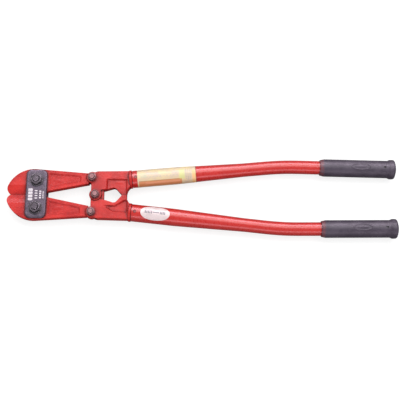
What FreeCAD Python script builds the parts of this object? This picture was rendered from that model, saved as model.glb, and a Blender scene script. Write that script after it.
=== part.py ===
"""A 600 mm bolt cutter: two forged jaws held by a pair of link plates and driven by two tubular handles.

The tool lies on its back, jaws towards -X, handle ends towards +X, cutting plane parallel to the floor.
While it is drawn, the centre pivot of the handles is the origin and z = 0 is the middle of the thickness.
Upper pieces lie on the +Y side. The two forgings of a kind are one pattern, the lower one turned over.
"""
import FreeCAD, Part
import math
import os
from FreeCAD import Vector

# ---------------------------------------------------------------- layout of the five pivots
tool_length = 608.0          # nose tip to handle end
jaw_pivot_spacing = 44.4     # between the two jaw pivots
eye_spacing = 55.4           # between the two eyes, jaws closed
jaw_reach = 86.0             # jaw pivot to eye, along the tool
eye_lead = 5.5               # the eyes lie this far ahead of the centre pivot
nose_reach = 46.0            # jaw pivot to nose tip, along the tool
handle_swing = 45.0          # degrees that each handle opens from the closed place

# ---------------------------------------------------------------- jaws
jaw_thickness = 13.0
jaw_edge = 18.3              # metal outside the jaw pivot
blade_gap = 0.2              # between the closed cutting edges, and between the closed handle stops
lobe_radius = 10.5           # round nose of a jaw
lobe_offset = 8.8            # nose tip to the centre line
shoulder_lead = 4.5          # widest place of the head, ahead of the jaw pivot
blade_tail = 5.8             # the cutting edges end this far ahead of the jaw pivot
bevel_width = 14.4           # centre line to the first bevel line
bevel_step = 7.3             # centre line to the second bevel line
bevel_step_height = 4.2      # half thickness at the second bevel line
blade_land = 0.7             # half thickness of the cutting edge
arm_edge = 6.3               # metal of the arm outside the eye, at the eye
arm_inside = 9.95            # metal of the arm inside the eye, at the eye
arm_end_lead = 5.0           # the thick arm ends this far ahead of the eye
jaw_round = 1.0              # rounded forging edges of the jaws
panel_rim = 4.8              # rim around the recessed panel of the arm
panel_depth = 1.6
panel_start = 18.6           # jaw pivot to the start of the panel
panel_end = 17.0             # the panel ends this far ahead of the eye
draft = 2.2                  # width of the sloping sides of a forged recess
recess_corner = 2.0
tongue_thickness = 7.0       # jaw tail between the two ears of the yoke
tongue_radius = 8.8

# ---------------------------------------------------------------- link plates
link_width = 32.6
link_end = 16.6              # end of a plate beyond its bolt
link_corner = 9.0
link_thickness = 4.0
link_gap = 0.1               # running gap between a jaw and a link plate
link_round = 2.3             # rounded outer edge

# ---------------------------------------------------------------- yokes, the forged front ends of the handles
yoke_thickness = 16.0
yoke_round = 1.3
yoke_length = 56.5           # centre pivot to the tube's face
ear_radius = 9.0
ear_gap = 0.5                # arm and slot wall to the ear and tongue that turn beside them
slot_gap = 0.2               # each side of the tongue, through the thickness
lug_radius = 9.5             # half-lapped knuckle at the centre pivot
lug_gap = 0.7                # knuckle to the other yoke, around the pivot
lap_gap = 0.3                # between the two halves of the knuckle, through the thickness
yoke_front = 6.8             # front face ahead of the centre pivot
yoke_back_rise = 10.9        # straight outer edge above the eye, at the collar
yoke_front_rise = 9.9        # straight outer edge above the eye, at the ear
window_start = 13.0          # window between the closed yokes
window_shoulder = 7.75
window_apex = 30.5
window_height = 13.0
window_end = 41.8
window_round = 6.0
stop_end = 48.8              # closing stops run from the window to here
relief_start = 8.2
relief_height = 8.0
relief_depth = 3.0
collar_radius = 14.4
collar_length = 4.5
collar_round = 1.0
pocket_depth = 2.8
pocket_start = 16.8
pocket_end = 49.6
pocket_height = 25.8
skew_start = 10.9            # wedge-shaped recess in the back of the yoke
skew_bend = 27.8
skew_end = 51.0
skew_height = 28.8
window_rim = 3.6             # rim left between the window and the pocket of the other face
tang_length = 60.0
tang_gap = 0.1
tang_taper = 2.0

# ---------------------------------------------------------------- tubes and grips
tube_radius = 13.5           # over the tang
tube_end_radius = 10.6       # under the grip
tube_wall = 2.2
tube_offset = 26.8           # tube axis to the centre line, at the collar
bend_offset = 50.1           # tube axis to the centre line, at the bend
grip_lean = 0.83             # degrees that the grip axes close in on the centre line
bend_radius = 440.0
bend_lead = 60.0             # bend to the mouth of the grip
swage_lead = 0.05            # plain part behind the tang, as a share of the way from tang to bend
swage_tail = 0.235           # slim part ahead of the bend, as a share of the same way
collar_seam = 0.8            # open seam between the collar and the tube
grip_length = 119.7
grip_wall = 3.1
grip_end_wall = 5.0
grip_flare = 1.6             # the closed end stands out by this much
grip_flare_length = 14.0
grip_end_round = 3.5
grip_dome = 2.5              # the closed end bulges by this much
grip_lip = 1.4               # the mouth thins by this much
grip_lip_length = 6.5
vent_radius = 1.9
vent_depth = 2.0
vent_inset = 19.5            # vent to the closed end
pin_radius = 2.5
pin_inset = 6.0              # cross pin behind the collar
pin_recess = 0.7

# ---------------------------------------------------------------- fasteners
jaw_bolt_radius = 5.0
jaw_nut_flats = 16.0
jaw_nut_height = 5.2
jaw_head_height = 5.0
jaw_washer_radius = 10.5
jaw_washer_thickness = 1.6
jaw_thread_pitch = 1.5
eye_bolt_radius = 4.0
eye_nut_flats = 11.0
eye_nut_height = 5.6
eye_head_height = 4.8
eye_washer_radius = 6.1
eye_washer_thickness = 1.2
eye_thread_pitch = 1.25
nut_crown = 0.9              # flat top of a nut or bolt head, as a share of its width across flats
bolt_stand = 1.3             # bolt end beyond its nut
running_gap = 0.05           # bolt shank to bore, all round
slot_margin = 0.6            # spare length at each end of the slotted bore

# ---------------------------------------------------------------- places worked out from the sizes
jaw_x = -(eye_lead + jaw_reach)
jaw_y = jaw_pivot_spacing / 2
eye_x = -eye_lead
eye_y = eye_spacing / 2
nose_x = jaw_x - nose_reach
end_x = nose_x + tool_length
half_jaw = jaw_thickness / 2
half_yoke = yoke_thickness / 2
half_gap = blade_gap / 2
link_face = half_jaw + link_gap + link_thickness
grip_slope = -math.radians(grip_lean)
grip_radius = tube_end_radius + grip_wall
knob_radius = grip_radius + grip_flare
dome_radius = ((knob_radius - grip_end_round) ** 2 + grip_dome ** 2) / (2 * grip_dome)
axis_end_x = end_x - dome_radius * (1 - math.cos(grip_slope))
bend_x = axis_end_x - grip_length - bend_lead
end_offset = bend_offset + math.tan(grip_slope) * (axis_end_x - bend_x)
first_slope = math.atan2(bend_offset - tube_offset, bend_x - yoke_length)
lobe_centre = (nose_x + lobe_radius, lobe_offset)
shoulder_run = jaw_x - shoulder_lead - lobe_centre[0]
shoulder_rise = jaw_y + jaw_edge - lobe_offset
shoulder_radius = ((shoulder_run ** 2 + shoulder_rise ** 2 - lobe_radius ** 2)
                   / (2 * (shoulder_rise - lobe_radius)))
shoulder_centre = (jaw_x - shoulder_lead, jaw_y + jaw_edge - shoulder_radius)
arm_tip = (eye_x, eye_y + arm_edge)
lowest = -(link_face + jaw_washer_thickness + jaw_head_height)
part_origin = Vector(-(nose_x + end_x) / 2, 0, -lowest)
REACH = 400.0                # longer than any cut needs to be
SHARP = 2                    # offset outlines keep their corners


# ---------------------------------------------------------------- drawing helpers
def outline(start, *steps):
    """A closed flat face. A step (x, y) is a straight side, (mid_x, mid_y, x, y) is an arc."""
    edges = []
    here = Vector(start[0], start[1], 0)
    for step in steps + (start,):
        there = Vector(step[-2], step[-1], 0)
        if here.distanceToPoint(there) < 1e-6:
            continue
        if len(step) == 4:
            edges.append(Part.Arc(here, Vector(step[0], step[1], 0), there).toShape())
        else:
            edges.append(Part.LineSegment(here, there).toShape())
        here = there
    return Part.Face(Part.Wire(edges))


def arc_middle(start, end, radius, side):
    """Middle of the arc from start to end; side 1 bulges to the left of the way, -1 to the right."""
    across = math.dist(start, end) / 2
    bulge = side * (radius - math.sqrt(radius ** 2 - across ** 2))
    left_x = (start[1] - end[1]) / (2 * across)
    left_y = (end[0] - start[0]) / (2 * across)
    return ((start[0] + end[0]) / 2 + left_x * bulge, (start[1] + end[1]) / 2 + left_y * bulge)


def on_circle(centre, radius, degrees):
    angle = math.radians(degrees)
    return (centre[0] + radius * math.cos(angle), centre[1] + radius * math.sin(angle))


def rounded_corner(before, corner, after, radius):
    """The three points (start, middle, end) of an arc that rounds a corner of an outline."""
    to_before = Vector(before[0] - corner[0], before[1] - corner[1], 0).normalize()
    to_after = Vector(after[0] - corner[0], after[1] - corner[1], 0).normalize()
    half_angle = to_before.getAngle(to_after) / 2
    reach = radius / math.tan(half_angle)
    middle_way = (to_before + to_after).normalize()
    depth = radius / math.sin(half_angle) - radius
    place = Vector(corner[0], corner[1], 0)
    first = place + to_before * reach
    middle = place + middle_way * depth
    last = place + to_after * reach
    return (first.x, first.y), (middle.x, middle.y), (last.x, last.y)


def plate(face, low, high):
    """The face drawn up between two heights."""
    return face.extrude(Vector(0, 0, high - low)).translated(Vector(0, 0, low))


def box(x_low, x_high, y_low, y_high, z_low, z_high):
    corner = Vector(x_low, y_low, z_low)
    return Part.makeBox(x_high - x_low, y_high - y_low, z_high - z_low, corner)


def rod(x, y, radius, low, high):
    return Part.makeCylinder(radius, high - low, Vector(x, y, low))


def round_faces(solid, height, radius):
    """Rounds the edges of the two flat faces at z = height and z = -height."""
    edges = [edge for edge in solid.Edges
             if abs(abs(edge.BoundBox.ZMin) - height) < 1e-6 and edge.BoundBox.ZLength < 1e-6]
    return solid.makeFillet(radius, edges)


def recess(face, depth, surface):
    """A recess with sloping sides and rounded corners, sunk to a depth below a flat surface."""
    spread = draft / depth
    low = face.OuterWire.makeOffset2D(-draft, SHARP).translated(Vector(0, 0, surface - depth))
    high = face.OuterWire.makeOffset2D(spread, SHARP).translated(Vector(0, 0, surface + 1))
    block = Part.makeLoft([low, high], True, True)
    corners = [edge for edge in block.Edges if edge.BoundBox.ZLength > depth]
    return block.makeFillet(recess_corner, corners)


def turned(profile, place, direction):
    """A solid of revolution. The profile is an outline whose x runs along the axis and y out from it."""
    solid = outline(*profile).revolve(Vector(0, 0, 0), Vector(1, 0, 0), 360)
    solid.Placement = FreeCAD.Placement(place, FreeCAD.Rotation(Vector(1, 0, 0), direction))
    return solid


def turned_over(solid):
    """The same forging turned over, to work on the other side of the tool."""
    return solid.rotated(Vector(0, 0, 0), Vector(1, 0, 0), 180)


def opposite(solid):
    """The mirror piece on the other side of the tool."""
    return solid.mirror(Vector(0, 0, 0), Vector(0, 1, 0))


def save(node, shape):
    solid = shape.Solids[0]
    assert len(shape.Solids) == 1 and solid.isValid(), node
    solid.translated(part_origin).exportStep("parts/" + node + ".step")


# ---------------------------------------------------------------- how the linkage opens
def jaw_angle(handle_angle):
    """Exact angle that a jaw opens when each handle has opened by handle_angle (radians)."""
    eye_radius = math.hypot(eye_x, eye_y)
    eye_bearing = math.atan2(eye_y, eye_x) + handle_angle
    link = math.hypot(eye_x - jaw_x, eye_y - jaw_y)
    rest = math.asin((eye_y - jaw_y) / link)
    return rest - math.asin((eye_radius * math.sin(eye_bearing) - jaw_y) / link)


def pivot_slip():
    """How far the lower jaw bolt wanders in its bore when jaws and handles keep one steady ratio."""
    swing = math.radians(handle_swing)
    ratio = jaw_angle(swing) / swing
    link = math.hypot(eye_x - jaw_x, eye_y - jaw_y)
    steps = 90
    angles = [swing * step / steps for step in range(steps + 1)]
    return max(2 * link * abs(ratio * angle - jaw_angle(angle)) for angle in angles)


# ---------------------------------------------------------------- jaws
def arm_top():
    """Where the straight outer edge of the arm leaves the round shoulder without a corner."""
    bearing = math.atan2(arm_tip[1] - shoulder_centre[1], arm_tip[0] - shoulder_centre[0])
    swing = math.acos(shoulder_radius / math.dist(arm_tip, shoulder_centre))
    return on_circle(shoulder_centre, shoulder_radius, math.degrees(bearing + swing))


def arm_outer(x):
    """Outer edge line of the jaw arm."""
    top = arm_top()
    return top[1] + (arm_tip[1] - top[1]) * (x - top[0]) / (arm_tip[0] - top[0])


def arm_inner(x):
    """Inner edge line of the jaw arm."""
    start_x = jaw_x - blade_tail
    end = eye_x - arm_end_lead
    return half_gap + (eye_y - arm_inside - half_gap) * (x - start_x) / (end - start_x)


def jaw_blank():
    """The forging in plan, from nose to the end of the thick arm, with rounded edges."""
    climb = lobe_offset - shoulder_centre[1]
    bearing = math.degrees(math.atan2(climb, lobe_centre[0] - shoulder_centre[0]))
    cheek = on_circle(shoulder_centre, shoulder_radius, bearing)
    drop = lobe_offset - half_gap
    notch = (lobe_centre[0] - math.sqrt(lobe_radius ** 2 - drop ** 2), half_gap)
    top = arm_top()
    arm_end = eye_x - arm_end_lead
    face = outline(
        notch,
        (nose_x, lobe_offset) + cheek,
        arc_middle(cheek, top, shoulder_radius, 1) + top,
        (arm_end, arm_outer(arm_end)),
        (arm_end, arm_inner(arm_end)),
        (jaw_x - blade_tail, half_gap),
    )
    return round_faces(plate(face, -half_jaw, half_jaw), half_jaw, jaw_round)


def jaw_bevel():
    """What is ground off the front of the blade, as a bar along the tool."""
    x_low = nose_x - 1
    x_high = jaw_x - blade_tail
    above = half_jaw + 1
    section = [(-1, blade_land), (half_gap, blade_land), (bevel_step, bevel_step_height),
               (bevel_width, half_jaw), (bevel_width, above), (-1, above)]
    points = [Vector(x_low, y, z) for y, z in section]
    face = Part.Face(Part.makePolygon(points + points[:1]))
    return face.extrude(Vector(x_high - x_low, 0, 0))


def jaw_panel():
    """Shallow recess in the front of the arm."""
    start = jaw_x + panel_start
    end = eye_x - panel_end
    face = outline(
        (start, arm_inner(start) + panel_rim),
        (end, arm_inner(end) + panel_rim),
        (end, arm_outer(end) - panel_rim),
        (start, arm_outer(start) - panel_rim),
    )
    return recess(face, panel_depth, half_jaw)


def jaw(bore):
    """Upper jaw around a given pivot bore."""
    solid = jaw_blank()
    for cut in (jaw_bevel(), jaw_panel()):
        solid = solid.cut(cut)
        solid = solid.cut(turned_over(cut).mirror(Vector(0, 0, 0), Vector(0, 1, 0)))
    solid = solid.cut(rod(eye_x, eye_y, ear_radius + ear_gap, -REACH, REACH))
    half_tongue = tongue_thickness / 2
    tongue = box(eye_x - 1.5 * ear_radius, eye_x, eye_y - tongue_radius, eye_y + arm_edge,
                 -half_tongue, half_tongue)
    tongue = tongue.fuse(rod(eye_x, eye_y, tongue_radius, -half_tongue, half_tongue))
    solid = solid.fuse(tongue).removeSplitter()
    solid = solid.cut(rod(eye_x, eye_y, eye_bolt_radius + running_gap, -REACH, REACH))
    return solid.cut(bore)


def round_bore():
    return rod(jaw_x, jaw_y, jaw_bolt_radius + running_gap, -REACH, REACH)


def slotted_bore():
    """Bore of the open pivot: long towards the centre line, where the bolt wanders part way."""
    radius = jaw_bolt_radius + slot_margin
    inner = jaw_y - pivot_slip()
    slot = box(jaw_x - radius, jaw_x + radius, inner, jaw_y, -REACH, REACH)
    return slot.fuse([rod(jaw_x, inner, radius, -REACH, REACH), rod(jaw_x, jaw_y, radius, -REACH, REACH)])


# ---------------------------------------------------------------- link plates
def link_plate(low, outer_height):
    left, end = jaw_x - link_width / 2, jaw_y + link_end
    solid = box(left, left + link_width, -end, end, low, low + link_thickness)
    corners = [edge for edge in solid.Edges if edge.BoundBox.ZLength > link_thickness / 2]
    solid = solid.makeFillet(link_corner, corners)
    outer_edges = [edge for edge in solid.Edges
                   if abs(edge.BoundBox.ZMin - outer_height) < 1e-6 and edge.BoundBox.ZLength < 1e-6]
    solid = solid.makeFillet(link_round, outer_edges)
    for side in (-1, 1):
        solid = solid.cut(rod(jaw_x, side * jaw_y, jaw_bolt_radius + running_gap, -REACH, REACH))
    return solid


# ---------------------------------------------------------------- yokes
def tube_direction():
    return Vector(math.cos(first_slope), math.sin(first_slope), 0)


def grip_direction():
    return Vector(math.cos(grip_slope), math.sin(grip_slope), 0)


def tube_start():
    return Vector(yoke_length, tube_offset, 0)


def window_edge(margin):
    """Corner points of the window's upper half, grown outwards by a margin."""
    return ((window_start, window_shoulder + margin),
            (window_apex, window_height + margin),
            (window_end + margin, half_gap))


def yoke_body():
    """Full thickness of the yoke in plan, without its knuckle and collar."""
    shoulder, apex, far = window_edge(0)
    first, middle, last = rounded_corner(shoulder, apex, far, window_round)
    inner_end = (yoke_length - collar_length / 2, tube_offset - collar_radius + collar_length / 4)
    top_end = (inner_end[0], eye_y + yoke_back_rise)
    ear = (eye_x, eye_y)
    ear_top = on_circle(ear, ear_radius, 66)
    ear_left = on_circle(ear, ear_radius, 180)
    front_top = (-yoke_front, eye_y - math.sqrt(ear_radius ** 2 - (eye_x + yoke_front) ** 2))
    lap = lug_radius + lug_gap
    front_low = (-yoke_front, math.sqrt(lap ** 2 - yoke_front ** 2))
    throat_radius = 1.1 * math.dist((stop_end, half_gap), inner_end)
    face = outline(
        (0, half_gap),
        (window_start, half_gap),
        shoulder,
        first,
        middle + last,
        far,
        (stop_end, half_gap),
        arc_middle((stop_end, half_gap), inner_end, throat_radius, 1) + inner_end,
        top_end,
        (ear_top[0] + collar_length, eye_y + yoke_front_rise),
        ear_top,
        ear_left + front_top,
        front_low,
    )
    return round_faces(plate(face, -half_yoke, half_yoke), half_yoke, yoke_round)


def front_pocket():
    """Rectangular recess in the front of the yoke, open towards the window and the stop."""
    face = outline((pocket_start, -pocket_height), (pocket_end, -pocket_height),
                   (pocket_end, pocket_height), (pocket_start, pocket_height))
    return recess(face, pocket_depth, half_yoke)


def back_pocket():
    """Recess in the back of the yoke: a wedge with a rim along the window and a slanting front side."""
    apex, far = window_edge(window_rim)[1:]
    face = outline(
        (skew_start, apex[1]),
        apex,
        (far[0], window_shoulder),
        (skew_end, window_shoulder),
        (skew_end, skew_height),
        (skew_bend, skew_height - draft / 2),
    )
    return recess(face, pocket_depth, half_yoke).mirror(Vector(0, 0, 0), Vector(0, 0, 1))


def fork_slot():
    """Room between the ears for the jaw's tail, from closed to open."""
    half = tongue_thickness / 2 + slot_gap
    wall = tongue_radius + ear_gap
    room = rod(eye_x, eye_y, wall, -half, half)
    outward = box(-REACH, eye_x + wall, eye_y, REACH, -half, half)
    forward = box(-REACH, eye_x, eye_y - wall, eye_y + wall, -half, half)
    return room.fuse([outward, forward])


def yoke():
    """Upper yoke: ears, half-lapped knuckle in front, closing stop, collar and tang."""
    solid = yoke_body()
    for pocket in (front_pocket(), back_pocket()):
        solid = solid.cut(pocket)
    for low, high in ((half_yoke - relief_depth, REACH), (-REACH, relief_depth - half_yoke)):
        solid = solid.cut(box(relief_start, window_start + 1, -1, relief_height, low, high))
    lug = rod(0, 0, lug_radius, lap_gap / 2, half_yoke)
    lug = lug.makeFillet(yoke_round, [edge for edge in lug.Edges
                                      if abs(edge.BoundBox.ZMin - half_yoke) < 1e-6])
    solid = solid.cut(rod(0, 0, lug_radius + lug_gap, -REACH, lap_gap / 2))
    solid = solid.fuse(lug)
    start, along = tube_start(), tube_direction()
    collar = turned([(-collar_length, 0), (-collar_length, collar_radius - collar_round),
                     (collar_round - collar_length, collar_radius), (-collar_round / 2, collar_radius),
                     (0, collar_radius - collar_round / 2), (0, 0)], start, along)
    tang_radius = tube_radius - tube_wall - tang_gap
    tang = turned([(0, 0), (0, tang_radius), (tang_length - tang_taper, tang_radius),
                   (tang_length, tang_radius - tang_taper), (tang_length, 0)], start, along)
    solid = solid.fuse([collar, tang])
    solid = solid.cut(fork_slot())
    solid = solid.cut(rod(0, 0, eye_bolt_radius + running_gap, -REACH, REACH))
    solid = solid.cut(rod(eye_x, eye_y, eye_bolt_radius + running_gap, -REACH, REACH))
    return solid.cut(cross_pin_at(pin_radius, REACH))


# ---------------------------------------------------------------- tubes, pins and grips
def cross_pin_at(radius, half_length):
    place = tube_start() + tube_direction() * pin_inset
    return rod(place.x, place.y, radius, -half_length, half_length)


def bend_frame():
    """Start and end of the bend, its centre, and the angle that it turns by."""
    corner = Vector(bend_x, bend_offset, 0)
    turn = first_slope - grip_slope
    reach = bend_radius * math.tan(turn / 2)
    start = corner - tube_direction() * reach
    end = corner + grip_direction() * reach
    centre = start + Vector(math.sin(first_slope), -math.cos(first_slope), 0) * bend_radius
    return start, end, centre, turn


def pipe(shrink):
    """Outside of the handle tube, or its inside when shrunk by the wall."""
    start, end, centre, turn = bend_frame()
    length = (start - tube_start()).Length
    plain = length - tang_length
    cone_start = tang_length + swage_lead * plain
    cone_end = length - swage_tail * plain
    wide, slim = tube_radius - shrink, tube_end_radius - shrink
    profile = [(collar_seam, 0), (collar_seam, wide), (cone_start, wide), (cone_end, slim),
               (length, slim), (length, 0)]
    first = turned(profile, tube_start(), tube_direction())
    ring = Part.Face(Part.Wire(Part.makeCircle(slim, start, tube_direction())))
    bend = ring.revolve(centre, Vector(0, 0, -1), math.degrees(turn))
    tail = (axis_end_x - end.x) / math.cos(grip_slope) - grip_end_wall
    last = turned([(0, 0), (0, slim), (tail, slim), (tail, 0)], end, grip_direction())
    return first.fuse([bend, last]).removeSplitter()


def tube():
    solid = pipe(0).cut(pipe(tube_wall))
    return solid.cut(cross_pin_at(pin_radius, REACH))


def tube_pin():
    half_length = tube_radius - pin_recess
    pin = cross_pin_at(pin_radius, half_length)
    return pin.makeChamfer(0.5, [edge for edge in pin.Edges if edge.BoundBox.ZLength < 1e-6])


def grip():
    """Moulded sleeve with a closed, slightly flared end and a small vent."""
    bore = tube_end_radius
    way = grip_direction()
    mouth = Vector(axis_end_x, end_offset, 0) - way * grip_length
    flare = grip_length - grip_flare_length
    corner = (grip_length - grip_dome - grip_end_round, knob_radius - grip_end_round)
    rim = (corner[0] + grip_end_round, corner[1])
    tip = (grip_length, 0)
    profile = [
        (0, bore),
        (0, grip_radius - grip_lip),
        (grip_lip_length, grip_radius),
        (flare, grip_radius),
        (flare + grip_end_round, knob_radius),
        (corner[0], knob_radius),
        on_circle(corner, grip_end_round, 45) + rim,
        arc_middle(rim, tip, dome_radius, 1) + tip,
        (grip_length - grip_end_wall, 0),
        (grip_length - grip_end_wall, bore),
    ]
    solid = turned(profile, mouth, way)
    vent = mouth + way * (grip_length - vent_inset)
    return solid.cut(rod(vent.x, vent.y, vent_radius, grip_radius - vent_depth, REACH))


# ---------------------------------------------------------------- fasteners, drawn upright on the z axis
def hexagon(flats, low, high):
    corner = flats / math.sqrt(3)
    points = [Vector(*on_circle((0, 0), corner, 60 * turn + 30), 0) for turn in range(6)]
    return plate(Part.Face(Part.makePolygon(points + points[:1])), low, high)


def hex_block(flats, low, high, chamfer_low, chamfer_high):
    """Hexagon with its corners turned off at the chosen ends."""
    corner = flats / math.sqrt(3)
    slant = math.tan(math.radians(30))
    trim = corner - flats * nut_crown / 2
    low_trim = trim if chamfer_low else 0
    high_trim = trim if chamfer_high else 0
    profile = [(low, 0), (low, corner - low_trim), (low + low_trim * slant, corner),
               (high - high_trim * slant, corner), (high, corner - high_trim), (high, 0)]
    return hexagon(flats, low, high).common(turned(profile, Vector(0, 0, 0), Vector(0, 0, 1)))


def bolt(radius, flats, head_height, seat_low, seat_high, nut_height, pitch):
    """Bolt with its head under seat_low and a threaded end that stands out of the nut on seat_high."""
    end = seat_high + nut_height + bolt_stand
    depth = 0.45 * pitch
    profile = [(seat_low - 1, 0), (seat_low - 1, radius), (seat_high, radius)]
    turns = int((end - seat_high - depth) / pitch)
    for turn in range(turns):
        base = seat_high + turn * pitch
        profile += [(base + pitch / 2, radius - depth), (base + pitch, radius)]
    profile += [(end - depth, radius), (end, radius - depth), (end, 0)]
    shank = turned(profile, Vector(0, 0, 0), Vector(0, 0, 1))
    return shank.fuse(hex_block(flats, seat_low - head_height, seat_low, True, False))


def nut(radius, flats, seat, height):
    solid = hex_block(flats, seat, seat + height, False, True)
    solid = solid.cut(rod(0, 0, radius, -REACH, REACH))
    sink = Part.makeCone(radius, radius + 0.8, 0.8, Vector(0, 0, seat + height - 0.8))
    return solid.cut(sink)


def washer(radius, outer_radius, low, thickness):
    ring = rod(0, 0, outer_radius, low, low + thickness)
    ring = ring.makeChamfer(0.25, [edge for edge in ring.Edges if edge.BoundBox.ZLength < 1e-6])
    return ring.cut(rod(0, 0, radius + running_gap, -REACH, REACH))


def save_jaw_fasteners(name, place):
    front = link_face + jaw_washer_thickness
    pieces = {
        "_bolt": bolt(jaw_bolt_radius, jaw_nut_flats, jaw_head_height, -front, front, jaw_nut_height,
                      jaw_thread_pitch),
        "_nut": nut(jaw_bolt_radius, jaw_nut_flats, front, jaw_nut_height),
        "_front_washer": washer(jaw_bolt_radius, jaw_washer_radius, link_face, jaw_washer_thickness),
        "_rear_washer": washer(jaw_bolt_radius, jaw_washer_radius, -front, jaw_washer_thickness),
    }
    for ending, piece in pieces.items():
        save(name + ending, piece.translated(place))


def save_handle_fasteners(name, place):
    front = half_yoke + eye_washer_thickness
    pieces = {
        "_bolt": bolt(eye_bolt_radius, eye_nut_flats, eye_head_height, -half_yoke, front, eye_nut_height,
                      eye_thread_pitch),
        "_nut": nut(eye_bolt_radius, eye_nut_flats, front, eye_nut_height),
        "_washer": washer(eye_bolt_radius, eye_washer_radius, half_yoke, eye_washer_thickness),
    }
    for ending, piece in pieces.items():
        save(name + ending, piece.translated(place))


# ---------------------------------------------------------------- the whole tool
os.makedirs("parts", exist_ok=True)

save("upper_jaw", jaw(round_bore()))
save("lower_jaw", turned_over(jaw(slotted_bore())))
save("front_link_plate", link_plate(half_jaw + link_gap, link_face))
save("rear_link_plate", link_plate(-link_face, -link_face))
save("upper_yoke", yoke())
save("lower_yoke", turned_over(yoke()))
for node, piece in {"tube": tube(), "tube_pin": tube_pin(), "grip": grip()}.items():
    save("upper_" + node, piece)
    save("lower_" + node, opposite(piece))
save_jaw_fasteners("upper_jaw", Vector(jaw_x, jaw_y, 0))
save_jaw_fasteners("lower_jaw", Vector(jaw_x, -jaw_y, 0))
save_handle_fasteners("upper_eye", Vector(eye_x, eye_y, 0))
save_handle_fasteners("lower_eye", Vector(eye_x, -eye_y, 0))
save_handle_fasteners("centre", Vector(0, 0, 0))
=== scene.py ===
"""The looks of a 600 mm bolt cutter: painted forgings and tubes, dark steel links, rubber grips, labels."""
import math
import bmesh
import bpy
from mathutils import Matrix, Vector
from mathutils.bvhtree import BVHTree


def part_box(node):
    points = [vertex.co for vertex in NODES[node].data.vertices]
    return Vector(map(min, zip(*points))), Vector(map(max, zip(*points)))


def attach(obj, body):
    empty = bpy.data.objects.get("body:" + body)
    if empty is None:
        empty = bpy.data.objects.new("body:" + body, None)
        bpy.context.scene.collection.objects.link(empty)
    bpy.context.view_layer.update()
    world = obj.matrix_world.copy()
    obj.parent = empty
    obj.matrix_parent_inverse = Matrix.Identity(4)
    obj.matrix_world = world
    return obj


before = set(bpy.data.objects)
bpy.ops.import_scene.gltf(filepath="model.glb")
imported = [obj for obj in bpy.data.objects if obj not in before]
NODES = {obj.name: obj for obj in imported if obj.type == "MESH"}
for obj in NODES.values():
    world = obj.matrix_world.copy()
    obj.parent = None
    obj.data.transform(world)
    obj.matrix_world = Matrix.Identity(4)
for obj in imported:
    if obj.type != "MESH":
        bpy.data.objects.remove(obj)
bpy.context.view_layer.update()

MM = 0.001
UP = Vector((0, 0, 1))
SEAM_STEP = 0.0005           # turn in radians that passes a seam of a round part's mesh
LABEL_SINK = 0.02            # mm that each kind of thin piece reaches below the skin it lies on
PAD_SINK = 0.03
EMBOSS_SINK = 0.05
PAD_PINCH = 0.12             # share that a pad's corners draw in by
PAD_RIM = 0.1                # share of a pad's height at its rim
SMOOTH_ANGLE = math.radians(40)
RAYS = 6                     # samples of the bevel and openness nodes
FLAT_COSINE = 0.995          # between the true and the rounded normal, on flat skin
CORNER_COSINE = 0.86
MIX_A, MIX_B, MIX_RESULT = 6, 7, 2   # colour sockets of the mix node


def smooth_step(low, high, value):
    share = min(1.0, max(0.0, (value - low) / (high - low)))
    return share * share * (3 - 2 * share)


# ---------------------------------------------------------------- places read from the frame
def middle(node):
    low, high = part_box(node)
    return (low + high) / 2


def surface(node):
    mesh = NODES[node].data
    corners = [vertex.co.copy() for vertex in mesh.vertices]
    return BVHTree.FromPolygons(corners, [tuple(face.vertices) for face in mesh.polygons])


class Round:
    """The outside of a tube or grip: its axis, and points on its skin around that axis. The axis is
    drawn through the middles at two shares of the node's box along X."""

    def __init__(self, node, share_a, share_b):
        self.tree = surface(node)
        low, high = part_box(node)
        self.reach = (high - low).length
        self.height = (low.z + high.z) / 2
        a = self.axis_at(low.x + (high.x - low.x) * share_a)
        b = self.axis_at(low.x + (high.x - low.x) * share_b)
        self.origin = a
        self.along = (b - a).normalized()
        self.side = UP.cross(self.along)

    def axis_at(self, x):
        hits = [self.tree.ray_cast(Vector((x, way * self.reach, self.height)), Vector((0, -way, 0)))[0]
                for way in (-1, 1)]
        return (hits[0] + hits[1]) / 2

    def skin(self, run, turn, lift):
        """Point at a run along the axis and a turn from the top towards +Y, lifted off the skin."""
        start = self.origin + self.along * run
        hit = None
        while not hit:
            out = UP * math.cos(turn) + self.side * math.sin(turn)
            hit = self.tree.ray_cast(start + out * self.reach, -out)[0]
            turn += SEAM_STEP
        return hit + out * lift


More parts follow.
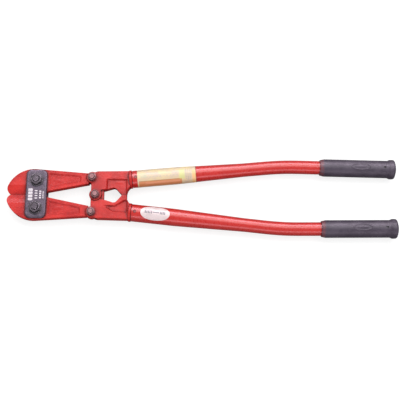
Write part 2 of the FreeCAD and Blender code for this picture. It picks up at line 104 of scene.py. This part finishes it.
# ---------------------------------------------------------------- node helpers
class Material:
    """A node material with a principled shader and short calls that add and link nodes."""

    def __init__(self, name):
        self.material = bpy.data.materials.new(name)
        self.material.use_nodes = True
        self.nodes = self.material.node_tree.nodes
        self.links = self.material.node_tree.links
        self.shader = self.nodes["Principled BSDF"]
        self.place = self.nodes.new("ShaderNodeTexCoord").outputs["Object"]

    def feed(self, socket, value):
        if isinstance(value, bpy.types.NodeSocket):
            self.links.new(value, socket)
        elif isinstance(value, (tuple, list)) and socket.type == "RGBA":
            socket.default_value = (*value[:3], 1)
        else:
            socket.default_value = value

    def set(self, **values):
        """Sets or links inputs of the shader, with _ for a space in their names."""
        for name, value in values.items():
            self.feed(self.shader.inputs[name.replace("_", " ")], value)

    def math(self, operation, *values):
        node = self.nodes.new("ShaderNodeMath")
        node.operation = operation
        for socket, value in zip(node.inputs, values):
            self.feed(socket, value)
        return node.outputs[0]

    def mix(self, share, first, second):
        node = self.nodes.new("ShaderNodeMix")
        node.data_type = "RGBA"
        self.feed(node.inputs["Factor"], share)
        self.feed(node.inputs[MIX_A], first)
        self.feed(node.inputs[MIX_B], second)
        return node.outputs[MIX_RESULT]

    def span(self, value, low, high, to_low=0.0, to_high=1.0):
        """Value from low to high becomes to_low to to_high, and stays there beyond."""
        node = self.nodes.new("ShaderNodeMapRange")
        node.interpolation_type = "SMOOTHSTEP"
        for socket, number in zip(node.inputs, (value, low, high, to_low, to_high)):
            self.feed(socket, number)
        return node.outputs[0]

    def stretched(self, stretch):
        node = self.nodes.new("ShaderNodeMapping")
        node.inputs["Scale"].default_value = stretch
        self.links.new(self.place, node.inputs["Vector"])
        return node.outputs[0]

    def noise(self, size, detail=4.0, roughness=0.55, stretch=None):
        """Soft noise with spots of about that size in millimetres."""
        node = self.nodes.new("ShaderNodeTexNoise")
        node.inputs["Scale"].default_value = 1 / (size * MM)
        node.inputs["Detail"].default_value = detail
        node.inputs["Roughness"].default_value = roughness
        self.links.new(self.stretched(stretch) if stretch else self.place, node.inputs["Vector"])
        return node.outputs["Fac"]

    def cells(self, size):
        """Distance to the middle of cells of about that size in millimetres."""
        node = self.nodes.new("ShaderNodeTexVoronoi")
        node.inputs["Scale"].default_value = 1 / (size * MM)
        self.links.new(self.place, node.inputs["Vector"])
        return node.outputs["Distance"]

    def edges(self, radius):
        """1 on corners and edges, 0 on flat and gently curved skin. The radius is in millimetres."""
        bevel = self.nodes.new("ShaderNodeBevel")
        bevel.samples = RAYS
        bevel.inputs["Radius"].default_value = radius * MM
        geometry = self.nodes.new("ShaderNodeNewGeometry")
        dot = self.nodes.new("ShaderNodeVectorMath")
        dot.operation = "DOT_PRODUCT"
        self.links.new(bevel.outputs["Normal"], dot.inputs[0])
        self.links.new(geometry.outputs["Normal"], dot.inputs[1])
        return self.span(dot.outputs["Value"], FLAT_COSINE, CORNER_COSINE)

    def openness(self, distance):
        """1 on open skin, less in corners and gaps within a distance in millimetres."""
        node = self.nodes.new("ShaderNodeAmbientOcclusion")
        node.samples = RAYS
        node.inputs["Distance"].default_value = distance * MM
        return node.outputs["AO"]

    def bump(self, *layers):
        """Each layer is (height, depth in millimetres)."""
        normal = None
        for height, depth in layers:
            node = self.nodes.new("ShaderNodeBump")
            node.inputs["Distance"].default_value = depth * MM
            self.feed(node.inputs["Height"], height)
            if normal:
                self.links.new(normal, node.inputs["Normal"])
            normal = node.outputs["Normal"]
        self.links.new(normal, self.shader.inputs["Normal"])


# ---------------------------------------------------------------- materials of the steel parts
PAINT_DEEP = (0.46, 0.007, 0.005)
PAINT_LIGHT = (0.66, 0.024, 0.018)
# Painted shade: the dark red that the red paint turns in corners, recesses and gaps.
PAINTED_SHADE_RED = (0.14, 0.005, 0.006)
BARE_STEEL = (0.42, 0.40, 0.40)
# Painted shade: the near black that the steel turns in corners and gaps.
PAINTED_SHADE_STEEL = (0.008, 0.007, 0.008)
RUBBER_DEEP = (0.034, 0.022, 0.042)
RUBBER_LIGHT = (0.058, 0.042, 0.068)
RUBBER_DUST = (0.12, 0.095, 0.125)
# Painted shade: the near black that the rubber turns in hollows and gaps.
PAINTED_SHADE_RUBBER = (0.012, 0.010, 0.013)
# Painted reflection: the dull red that the grips' mouths show from the red tubes.
PAINTED_RED_REFLECTION = (0.20, 0.035, 0.04)


def red_paint(name, cast, gloss):
    """Red enamel. cast is how rough the metal under it is, from 0 for drawn tube to 1 for a forging.
    gloss is its lowest roughness."""
    made = Material(name)
    patches = made.math("MULTIPLY", made.noise(size=26.0, detail=3.0), 0.7)
    mottle = made.math("MULTIPLY", made.noise(size=1.6, detail=5.0, roughness=0.6), 0.3)
    spread = 0.15 + 0.35 * cast
    share = made.span(made.math("ADD", patches, mottle), 0.38, 0.62, 0.5 - spread, 0.5 + spread)
    color = made.mix(share, PAINT_DEEP, PAINT_LIGHT)
    openness = made.openness(8.0)
    # Painted shade: the red darkens in corners, recesses and gaps, where less light falls.
    color = made.mix(made.span(openness, 0.97, 0.60, 0.0, 0.95), color, PAINTED_SHADE_RED)
    chip_noise = made.noise(size=0.9, detail=3.0, roughness=0.7)
    chips = made.math("MULTIPLY", made.edges(0.5), made.span(chip_noise, 0.62, 0.68))
    chips = made.math("MULTIPLY", chips, made.span(openness, 0.75, 0.92, 0.0, cast))
    streaks = made.noise(size=5.0, detail=8.0, roughness=0.7, stretch=(1, 0.25, 1))
    scuffs = made.math("MULTIPLY", made.span(streaks, 0.66, 0.72), 0.35)
    color = made.mix(scuffs, color, PAINT_LIGHT)
    color = made.mix(made.math("MULTIPLY", chips, 0.7), color, BARE_STEEL)
    made.set(Base_Color=color, Metallic=made.math("MULTIPLY", chips, 0.6))
    dullest = gloss + 0.10 + 0.1 * cast
    made.set(Roughness=made.span(made.noise(size=3.0, detail=5.0), 0.3, 0.7, gloss, dullest))
    made.set(Specular_IOR_Level=0.42 - 0.20 * cast)
    made.set(Coat_Weight=0.24 - 0.15 * cast, Coat_Roughness=0.20)
    forging = made.noise(size=2.4, detail=4.0, roughness=0.6)
    grain = made.noise(size=0.6, detail=2.0)
    made.bump((forging, 0.008 + 0.50 * cast), (grain, 0.001 + 0.05 * cast))
    return made.material


def dark_steel(name, low, high, edge, metal, rough, stretch, edge_radius=0.45):
    """Blackened steel with brighter edges, fine scratches along one way and dull spots. The edges show
    wear, and a reddish edge colour adds a painted reflection.
    """
    made = Material(name)
    clouds = made.noise(size=7.0, detail=6.0, roughness=0.65)
    color = made.mix(made.span(clouds, 0.35, 0.65), low, high)
    scratch = made.span(made.noise(size=0.5, detail=2.0, roughness=0.5, stretch=stretch), 0.60, 0.70)
    color = made.mix(made.math("MULTIPLY", scratch, 0.35), color, edge)
    edge_wear_and_reflection = made.span(made.noise(size=2.2, detail=5.0, roughness=0.7), 0.30, 0.55)
    # Brighter edges in the edge colour: worn steel, and with the link plate's reddish edge colour also a
    # painted reflection of the red jaws.
    color = made.mix(made.math("MULTIPLY", made.edges(edge_radius), edge_wear_and_reflection), color, edge)
    # Painted shade: the steel darkens in corners and gaps, where less light falls.
    color = made.mix(made.span(made.openness(5.0), 0.85, 0.3, 0.0, 0.7), color, PAINTED_SHADE_STEEL)
    made.set(Base_Color=color, Metallic=metal)
    spots = made.noise(size=1.8, detail=5.0)
    made.set(Roughness=made.span(spots, 0.3, 0.7, rough - 0.08, rough + 0.12))
    pits = made.noise(size=1.2, detail=5.0, roughness=0.6)
    lines = made.noise(size=0.4, detail=2.0, roughness=0.5, stretch=stretch)
    made.bump((pits, 0.09), (lines, 0.03))
    return made.material


def rubber():
    """Dark moulded rubber with dust, painted shade in its hollows, and a painted reflection of the red tube
    at the grips' mouths.
    """
    made = Material("grip_rubber")
    clouds = made.span(made.noise(size=18.0, detail=4.0), 0.35, 0.65)
    color = made.mix(clouds, RUBBER_DEEP, RUBBER_LIGHT)
    dust = made.span(made.noise(size=4.0, detail=8.0, roughness=0.7), 0.55, 0.75)
    color = made.mix(made.math("MULTIPLY", dust, 0.22), color, RUBBER_DUST)
    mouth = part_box("upper_grip")[0].x
    run = made.nodes.new("ShaderNodeSeparateXYZ")
    made.links.new(made.place, run.inputs[0])
    # Painted reflection of the red tube: a patchy red tint over the first millimetres of each grip's mouth.
    red_reflection = made.span(run.outputs["X"], mouth + 2.5 * MM, mouth + 7.5 * MM, 0.75, 0.0)
    red_reflection = made.math("MULTIPLY", red_reflection, made.span(made.noise(size=3.0, detail=4.0), 0.25, 0.6))
    color = made.mix(red_reflection, color, PAINTED_RED_REFLECTION)
    # Painted shade: the rubber darkens in hollows and gaps, where less light falls.
    color = made.mix(made.span(made.openness(4.0), 0.9, 0.3, 0.0, 0.7), color, PAINTED_SHADE_RUBBER)
    spots = made.noise(size=2.5, detail=5.0)
    made.set(Base_Color=color, Roughness=made.span(spots, 0.3, 0.7, 0.40, 0.56))
    made.set(Specular_IOR_Level=0.42)
    made.bump((made.cells(0.9), 0.05), (made.noise(size=5.0, detail=3.0), 0.12))
    return made.material


JAW_PAINT = red_paint("jaw_paint", cast=1.0, gloss=0.48)
YOKE_PAINT = red_paint("yoke_paint", cast=0.9, gloss=0.40)
TUBE_PAINT = red_paint("tube_paint", cast=0.0, gloss=0.25)
# The reddish edge colour is a painted reflection of the red jaws beside the plates, over edge wear.
LINK_STEEL = dark_steel(
    "link_steel", low=(0.048, 0.037, 0.056), high=(0.085, 0.068, 0.098), edge=(0.48, 0.22, 0.25),
    metal=0.45, rough=0.42, stretch=(6, 1, 1), edge_radius=2.6)
NUT_STEEL = dark_steel(
    "fastener_steel", low=(0.038, 0.030, 0.039), high=(0.070, 0.055, 0.070), edge=(0.50, 0.45, 0.50),
    metal=0.6, rough=0.38, stretch=(1, 1, 6))
WASHER_STEEL = dark_steel(
    "washer_steel", low=(0.05, 0.045, 0.055), high=(0.09, 0.08, 0.09), edge=(0.30, 0.28, 0.31),
    metal=0.70, rough=0.40, stretch=(1, 1, 4))
EYE_STEEL = dark_steel(
    "eye_fastener_steel", low=(0.16, 0.062, 0.065), high=(0.24, 0.115, 0.12), edge=(0.50, 0.34, 0.35),
    metal=0.45, rough=0.44, stretch=(1, 1, 6))
EYE_WASHER_STEEL = dark_steel(
    "eye_washer_steel", low=(0.11, 0.045, 0.05), high=(0.17, 0.075, 0.085), edge=(0.40, 0.24, 0.25),
    metal=0.50, rough=0.45, stretch=(1, 1, 4))
PIN_STEEL = dark_steel(
    "pin_steel", low=(0.17, 0.022, 0.022), high=(0.25, 0.05, 0.05), edge=(0.40, 0.12, 0.12),
    metal=0.3, rough=0.45, stretch=(1, 4, 1))
RUBBER = rubber()


def material_for(node):
    if node.endswith("jaw"):
        return JAW_PAINT
    if node.endswith("yoke"):
        return YOKE_PAINT
    if node.endswith("tube"):
        return TUBE_PAINT
    if node.endswith("grip"):
        return RUBBER
    if node.endswith("link_plate"):
        return LINK_STEEL
    if node.endswith("washer"):
        return WASHER_STEEL if "jaw" in node else EYE_WASHER_STEEL
    if node.endswith("pin"):
        return PIN_STEEL
    if node.startswith(("upper_eye", "lower_eye", "centre")):
        return EYE_STEEL
    return NUT_STEEL


for node, item in NODES.items():
    item.data.materials.clear()
    item.data.materials.append(material_for(node))


# ---------------------------------------------------------------- thin pieces that lie on a skin
def shell(name, tops, bottoms, prints, material, body):
    """A closed thin piece between two grids of points. prints are places on the flat print, in mm."""
    rows, columns = len(tops), len(tops[0])
    count = rows * columns
    points = [point for layer in (tops, bottoms) for row in layer for point in row]
    faces = []
    for row in range(rows - 1):
        for column in range(columns - 1):
            first = row * columns + column
            top = (first, first + 1, first + columns + 1, first + columns)
            faces.append(top)
            faces.append(tuple(corner + count for corner in reversed(top)))
    rim = list(range(columns))
    rim += [row * columns + columns - 1 for row in range(1, rows)]
    rim += [(rows - 1) * columns + column for column in range(columns - 2, -1, -1)]
    rim += [row * columns for row in range(rows - 2, 0, -1)]
    for here, there in zip(rim, rim[1:] + rim[:1]):
        faces.append((there, here, here + count, there + count))
    mesh = bpy.data.meshes.new(name)
    mesh.from_pydata(points, [], faces)
    sheet = bmesh.new()
    sheet.from_mesh(mesh)
    bmesh.ops.recalc_face_normals(sheet, faces=sheet.faces)
    for face in sheet.faces:
        face.smooth = True
    for edge in sheet.edges:
        edge.smooth = edge.calc_face_angle(0.0) < SMOOTH_ANGLE
    sheet.to_mesh(mesh)
    sheet.free()
    layer = mesh.attributes.new("print", "FLOAT_VECTOR", "POINT")
    flat = [value for row in prints for place in row for value in (place[0], place[1], 0.0)]
    layer.data.foreach_set("vector", flat + flat)
    mesh.materials.append(material)
    piece = bpy.data.objects.new(name, mesh)
    bpy.context.scene.collection.objects.link(piece)
    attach(piece, body)


def wrap(name, skin, start, places, thickness, material, body):
    """A label around a tube. places is a grid of (run, way round) in mm, the run from start, which is
    in metres along the skin's axis, and the way from the tube's top. The thickness is in mm."""
    middle_run = start + sum(place[0] for place in places[len(places) // 2]) / len(places[0]) * MM
    radius = (skin.skin(middle_run, 0, 0) - skin.origin - skin.along * middle_run).length
    tops, bottoms = [], []
    for row in places:
        spots = [(start + run * MM, way * MM / radius) for run, way in row]
        tops.append([skin.skin(run, turn, thickness * MM) for run, turn in spots])
        bottoms.append([skin.skin(run, turn, -LABEL_SINK * MM) for run, turn in spots])
    shell(name, tops, bottoms, places, material, body)


def pad(name, tree, centre, heading, size, height, bevel, material, body):
    """A low raised pad with soft edges that follows the skin under it. The centre is in metres, the
    size, height and bevel are in mm, and the heading is in degrees."""
    across, up = size
    spin = Matrix.Rotation(math.radians(heading), 3, "Z")
    steps = [-1, -0.92, -0.8, -0.5, 0, 0.5, 0.8, 0.92, 1]
    tops, bottoms, places = [], [], []
    for v in steps:
        top_row, bottom_row, place_row = [], [], []
        for u in steps:
            squeeze = 1 - PAD_PINCH * min(abs(u), abs(v)) ** 4
            x, y = u * across / 2 * squeeze, v * up / 2 * squeeze
            edge = min(across / 2 - abs(x), up / 2 - abs(y))
            rise = height * (PAD_RIM + (1 - PAD_RIM) * smooth_step(0, bevel, edge))
            place = centre + spin @ Vector((x, y, 0)) * MM
            hit = tree.ray_cast(Vector((place.x, place.y, 1)), -UP)[0]
            top_row.append(hit + UP * rise * MM)
            bottom_row.append(hit - UP * PAD_SINK * MM)
            place_row.append((x, y))
        tops.append(top_row)
        bottoms.append(bottom_row)
        places.append(place_row)
    shell(name, tops, bottoms, places, material, body)


# ---------------------------------------------------------------- label prints
class Print(Material):
    """A material painted by place on a flat print, in millimetres."""

    def __init__(self, name):
        super().__init__(name)
        node = self.nodes.new("ShaderNodeAttribute")
        node.attribute_name = "print"
        parts = self.nodes.new("ShaderNodeSeparateXYZ")
        self.links.new(node.outputs["Vector"], parts.inputs[0])
        self.run, self.way = parts.outputs["X"], parts.outputs["Y"]

    def between(self, value, low, high, soft=0.25):
        """1 from low to high, 0 outside, with soft edges."""
        rise = self.span(value, low - soft, low + soft)
        fall = self.span(value, high - soft, high + soft, 1.0, 0.0)
        return self.math("MULTIPLY", rise, fall)

    def patch(self, run_low, run_high, way_low, way_high, soft=0.25):
        along = self.between(self.run, run_low, run_high, soft)
        return self.math("MULTIPLY", along, self.between(self.way, way_low, way_high, soft))

    def bars(self, value, pitch, share):
        """1 on bars that repeat with a pitch, 0 between them."""
        saw = self.math("FRACT", self.math("DIVIDE", value, pitch))
        gap = (1 - share) / 2
        return self.between(saw, gap, 1 - gap, 0.06)

    def marks(self, pitch, line, share, drop):
        """Rows of short marks of uneven length, like small print without letters."""
        row = self.bars(self.way, line, 0.5)
        number = self.math("FLOOR", self.math("DIVIDE", self.way, line))
        shift = self.math("MULTIPLY", number, 0.37 * pitch)
        column = self.bars(self.math("ADD", self.run, shift), pitch, share)
        gaps = self.span(self.noise(size=2.6, detail=1.0), drop - 0.02, drop + 0.02)
        return self.math("MULTIPLY", self.math("MULTIPLY", row, column), gaps)

    def fields(self, color, rows):
        """Adds plain fields: run from and to, way from and to, soft edge, strength and colour."""
        for run_low, run_high, way_low, way_high, soft, strength, field_color in rows:
            place = self.patch(run_low, run_high, way_low, way_high, soft)
            color = self.mix(self.math("MULTIPLY", place, strength), color, field_color)
        return color


BAND_FIELDS = [
    (2.0, 69.0, -19.0, -8.2, 0.5, 1.0, (0.70, 0.26, 0.10)),
    (12.0, 66.0, -13.5, -10.5, 0.4, 1.0, (0.80, 0.33, 0.17)),
    (2.0, 69.0, -8.6, -7.7, 0.3, 1.0, (0.42, 0.19, 0.05)),
]
TINT_FIELDS = [
    (33.0, 45.0, 1.0, 8.5, 1.5, 0.35, (0.83, 0.78, 0.36)),
    (5.0, 15.0, -2.5, 2.5, 1.2, 0.4, (0.52, 0.60, 0.40)),
    (65.5, 74.0, -9.0, 7.5, 1.2, 0.55, (0.68, 0.76, 0.22)),
]
END_FIELDS = [
    (85.5, 95.0, -30.0, 5.0, 0.8, 1.0, (0.92, 0.56, 0.24)),
    (90.9, 95.0, -60.0, 60.0, 0.25, 1.0, (0.20, 0.09, 0.04)),
]


def yellow_print():
    """Faded cream with an orange band, a few tints, rows of marks and a block of small squares."""
    made = Print("yellow_label_print")
    cream, faded = (0.78, 0.61, 0.34), (0.68, 0.53, 0.40)
    color = made.mix(made.span(made.noise(size=14.0, detail=3.0), 0.35, 0.65), cream, faded)
    color = made.fields(color, BAND_FIELDS)
    title = made.math("MULTIPLY", made.patch(10.0, 64.0, -4.5, 5.5), made.marks(5.2, 3.4, 0.7, 0.42))
    color = made.mix(made.math("MULTIPLY", title, 0.42), color, (0.50, 0.43, 0.40))
    color = made.fields(color, TINT_FIELDS)
    squares = made.math("MULTIPLY", made.bars(made.run, 3.1, 0.6), made.bars(made.way, 2.6, 0.6))
    squares = made.math("MULTIPLY", squares, made.patch(74.5, 84.5, -11.0, 7.0))
    color = made.mix(made.math("MULTIPLY", squares, 0.55), color, (0.40, 0.38, 0.30))
    color = made.fields(color, END_FIELDS)
    sheen = made.noise(size=6.0, detail=4.0)
    made.set(Base_Color=color, Roughness=made.span(sheen, 0.3, 0.7, 0.40, 0.55))
    made.bump((made.noise(size=9.0, detail=3.0), 0.12))
    return made.material


def white_print():
    """Off-white with two rows of dark ticks, a dash between them and faint small marks below."""
    made = Print("white_label_print")
    white, greyed, ink = (0.80, 0.66, 0.67), (0.72, 0.58, 0.59), (0.07, 0.06, 0.10)
    color = made.mix(made.span(made.noise(size=9.0, detail=4.0), 0.35, 0.65), white, greyed)
    ticks = made.bars(made.run, 2.3, 0.62)
    first = made.math("MULTIPLY", ticks, made.patch(-17.0, -4.6, -0.8, 4.0))
    second = made.math("MULTIPLY", ticks, made.patch(7.4, 16.0, -0.6, 3.6))
    dash = made.patch(-4.0, 6.4, 0.9, 2.3)
    dark = made.math("MAXIMUM", first, made.math("MAXIMUM", second, dash))
    color = made.mix(made.math("MULTIPLY", dark, 0.9), color, ink)
    fine = made.math("MULTIPLY", made.patch(-13.0, 13.0, -5.5, -2.0), made.marks(2.4, 1.7, 0.7, 0.45))
    color = made.mix(made.math("MULTIPLY", fine, 0.30), color, (0.40, 0.42, 0.45))
    sheen = made.noise(size=5.0, detail=4.0)
    made.set(Base_Color=color, Roughness=made.span(sheen, 0.3, 0.7, 0.28, 0.42))
    made.bump((made.noise(size=7.0, detail=3.0), 0.10))
    return made.material


def stencil_white():
    """White paint worn through to the dark steel in small spots."""
    made = Material("stencil_white")
    worn = made.span(made.noise(size=0.8, detail=4.0, roughness=0.7), 0.36, 0.50)
    color = made.mix(worn, (0.20, 0.17, 0.20), (0.80, 0.72, 0.78))
    grain = made.noise(size=0.6, detail=3.0)
    made.set(Base_Color=color, Roughness=made.span(grain, 0.3, 0.7, 0.45, 0.65))
    made.bump((made.noise(size=0.5, detail=4.0, roughness=0.6), 0.03))
    return made.material


# ---------------------------------------------------------------- labels and marks
def add_yellow_label(skin):
    """A long label that goes most of the way around the upper tube."""
    start, length, half_wrap, thickness = -3.4, 91.6, 30.0, 0.14
    columns, rows = 70, 40
    places = []
    for row in range(rows + 1):
        way = half_wrap * (2 * row / rows - 1)
        places.append([(length * column / columns, way) for column in range(columns + 1)])
    wrap("upper_tube_label", skin, start * MM, places, thickness, yellow_print(), "upper_handle")


def add_oval_label(skin):
    """An oval label on the front of the lower tube."""
    start, half_length, half_wrap, thickness = 25.8, 22.8, 12.2, 0.12
    centre_way = 0.7
    columns, rows = 48, 26
    end_share = 0.985            # of the half turn from end to end, so that no column has zero height
    places = []
    for row in range(rows + 1):
        share = 2 * row / rows - 1
        line = []
        for column in range(columns + 1):
            u = math.sin(math.pi * (column / columns - 0.5) * end_share)
            height = math.sqrt(1 - abs(u) ** 2.2)
            line.append((half_length * u, centre_way + half_wrap * share * height))
        places.append(line)
    wrap("lower_tube_label", skin, start * MM, places, thickness, white_print(), "lower_handle")


def add_link_marks():
    """A column of worn white blocks and three of short dashes on the front link plate."""
    tree = surface("front_link_plate")
    centre = middle("front_link_plate")
    white = stencil_white()
    rows, height, bevel = 4, 0.08, 0.2
    blocks = [(-8.5, 5.8 - 5.0 * row, 6.9, 4.2) for row in range(rows)]
    for row in range(rows):
        blocks.append((0.3, 4.2 - 3.9 * row, 4.4, 1.9))
        blocks.append((6.7, 3.3 - 3.4 * row, 2.9, 2.4))
        blocks.append((11.2, 2.0 - 3.0 * row, 2.2, 1.7))
    for number, (x, y, across, up) in enumerate(blocks, 1):
        place = centre + Vector((x, y, 0)) * MM
        pad("link_mark_%02d" % number, tree, place, 0, (across, up), height, bevel, white, "links")


def add_castings():
    """Low plain pads in the forged recesses of the jaws and the upper yoke, on the front."""
    height = 0.25
    for side, way in (("upper", 1), ("lower", -1)):
        jaw = side + "_jaw"
        bolt, eye = middle(side + "_jaw_bolt"), middle(side + "_eye_bolt")
        place = bolt + (eye - bolt) * 0.40
        place.y -= way * 2.6 * MM
        pad(jaw + "_pad", surface(jaw), place, -4.0 * way, (15.0, 6.4), height, 2.2,
            JAW_PAINT, jaw)
    place = middle("centre_bolt") + Vector((36.5, 20.0, 0)) * MM
    pad("upper_yoke_pad", surface("upper_yoke"), place, 0, (14.0, 5.2), height, 1.8,
        YOKE_PAINT, "upper_handle")


def add_grip_emboss():
    """A moulded lozenge ring with a plain bar inside it, on the front of each grip."""
    half_length, half_wrap, ring = 14.0, 4.6, 1.0
    bar_length, bar_wrap = 9.0, 1.4
    around, steps = 64, 24
    shares = [-0.999 + 1.998 * step / steps for step in range(steps + 1)]
    turns = [2 * math.pi * step / around for step in range(around + 1)]
    for side in ("upper", "lower"):
        grip = Round(side + "_grip", 0.15, 0.8)
        lozenge = []
        for lane in (-1.0, -0.5, 0.0, 0.5, 1.0):
            length, wide = half_length + lane * ring, half_wrap + lane * ring
            lozenge.append([(length * math.cos(turn), wide * math.sin(turn)) for turn in turns])
        emboss(side + "_grip_ring", grip, lozenge, (0.0, 0.34, 0.46, 0.34, 0.0), side + "_handle")
        bar = []
        for lane in (-1.0, -0.6, 0.0, 0.6, 1.0):
            bar.append([(bar_length * share, bar_wrap * lane * (1 - abs(share) ** 6)) for share in shares])
        emboss(side + "_grip_bar", grip, bar, (0.0, 0.30, 0.40, 0.30, 0.0), side + "_handle")


def emboss(name, grip, places, rises, body):
    """A moulded rib on a grip. Each row of places has its own rise over the skin, in mm."""
    start, radius, lift = 45.0, 13.7, 0.02
    tops, bottoms = [], []
    for row, rise in zip(places, rises):
        spots = [((start + run) * MM, way / radius) for run, way in row]
        tops.append([grip.skin(run, turn, (rise + lift) * MM) for run, turn in spots])
        bottoms.append([grip.skin(run, turn, -EMBOSS_SINK * MM) for run, turn in spots])
    shell(name, tops, bottoms, places, RUBBER, body)


add_yellow_label(Round("upper_tube", 0.03, 0.40))
add_oval_label(Round("lower_tube", 0.03, 0.40))
add_link_marks()
add_castings()
add_grip_emboss()


# ---------------------------------------------------------------- floor, light and camera
def make_floor():
    """A wide pale floor just under the part, partly lit by itself towards the camera."""
    half_size, drop, glow = 60.0, 0.0005, 0.80
    corners = [(-half_size, -half_size, 0), (half_size, -half_size, 0),
               (half_size, half_size, 0), (-half_size, half_size, 0)]
    mesh = bpy.data.meshes.new("floor")
    mesh.from_pydata(corners, [], [(0, 1, 2, 3)])
    floor = bpy.data.objects.new("floor", mesh)
    bpy.context.scene.collection.objects.link(floor)
    floor.location.z = -drop
    made = Material("floor_white")
    shades = made.noise(size=900.0, detail=2.0)
    made.set(Base_Color=made.mix(shades, (0.26, 0.26, 0.26), (0.30, 0.30, 0.30)))
    made.set(Roughness=0.85, Specular_IOR_Level=0.1)
    seen = made.nodes.new("ShaderNodeLightPath").outputs["Is Camera Ray"]
    made.set(Emission_Color=(1, 1, 1), Emission_Strength=made.math("MULTIPLY", seen, glow))
    mesh.materials.append(made.material)


def make_light(name, place, size, power, tint=(1, 1, 1), gloss_only=False):
    """A rectangle of light that faces the middle of the part."""
    data = bpy.data.lights.new(name, "AREA")
    data.shape = "RECTANGLE"
    data.size, data.size_y = size
    data.energy = power
    data.color = tint
    light = bpy.data.objects.new(name, data)
    bpy.context.scene.collection.objects.link(light)
    light.visible_diffuse = not gloss_only
    light.location = place
    light.rotation_euler = (-Vector(place)).to_track_quat("-Z", "Y").to_euler()


def make_lights():
    """An even white room, a broad key light, and two strips that only show as highlights."""
    room_strength = 0.62
    world = bpy.data.worlds.new("studio")
    bpy.context.scene.world = world
    world.use_nodes = True
    background = world.node_tree.nodes["Background"]
    background.inputs["Color"].default_value = (1, 1, 1, 1)
    background.inputs["Strength"].default_value = room_strength
    pale_pink = (1.0, 0.90, 1.0)
    make_light("key", (0.2, 0.45, 1.5), (2.4, 0.6), 21)
    make_light("strip", (0.0, 1.15, 1.05), (3.0, 0.7), 62, pale_pink, gloss_only=True)
    make_light("low_strip", (0.0, -1.3, 0.7), (3.0, 0.35), 14, pale_pink, gloss_only=True)


def make_camera():
    """The photo's view: nearly straight down, from the side of the lower handle."""
    target = Vector((-3.6, -5.1, 17.2)) * MM
    distance, lens = 1.3, 75.0
    elevation, roll = math.radians(76.0), math.radians(0.65)
    data = bpy.data.cameras.new("camera")
    data.lens = lens
    camera = bpy.data.objects.new("camera", data)
    bpy.context.scene.collection.objects.link(camera)
    place = target + Vector((0, -math.cos(elevation), math.sin(elevation))) * distance
    aim = (target - place).to_track_quat("-Z", "Y").to_matrix().to_4x4()
    camera.matrix_world = Matrix.Translation(place) @ aim @ Matrix.Rotation(roll, 4, "Z")
    bpy.context.scene.camera = camera


bpy.context.scene.view_settings.view_transform = "Standard"
make_floor()
make_lights()
make_camera()
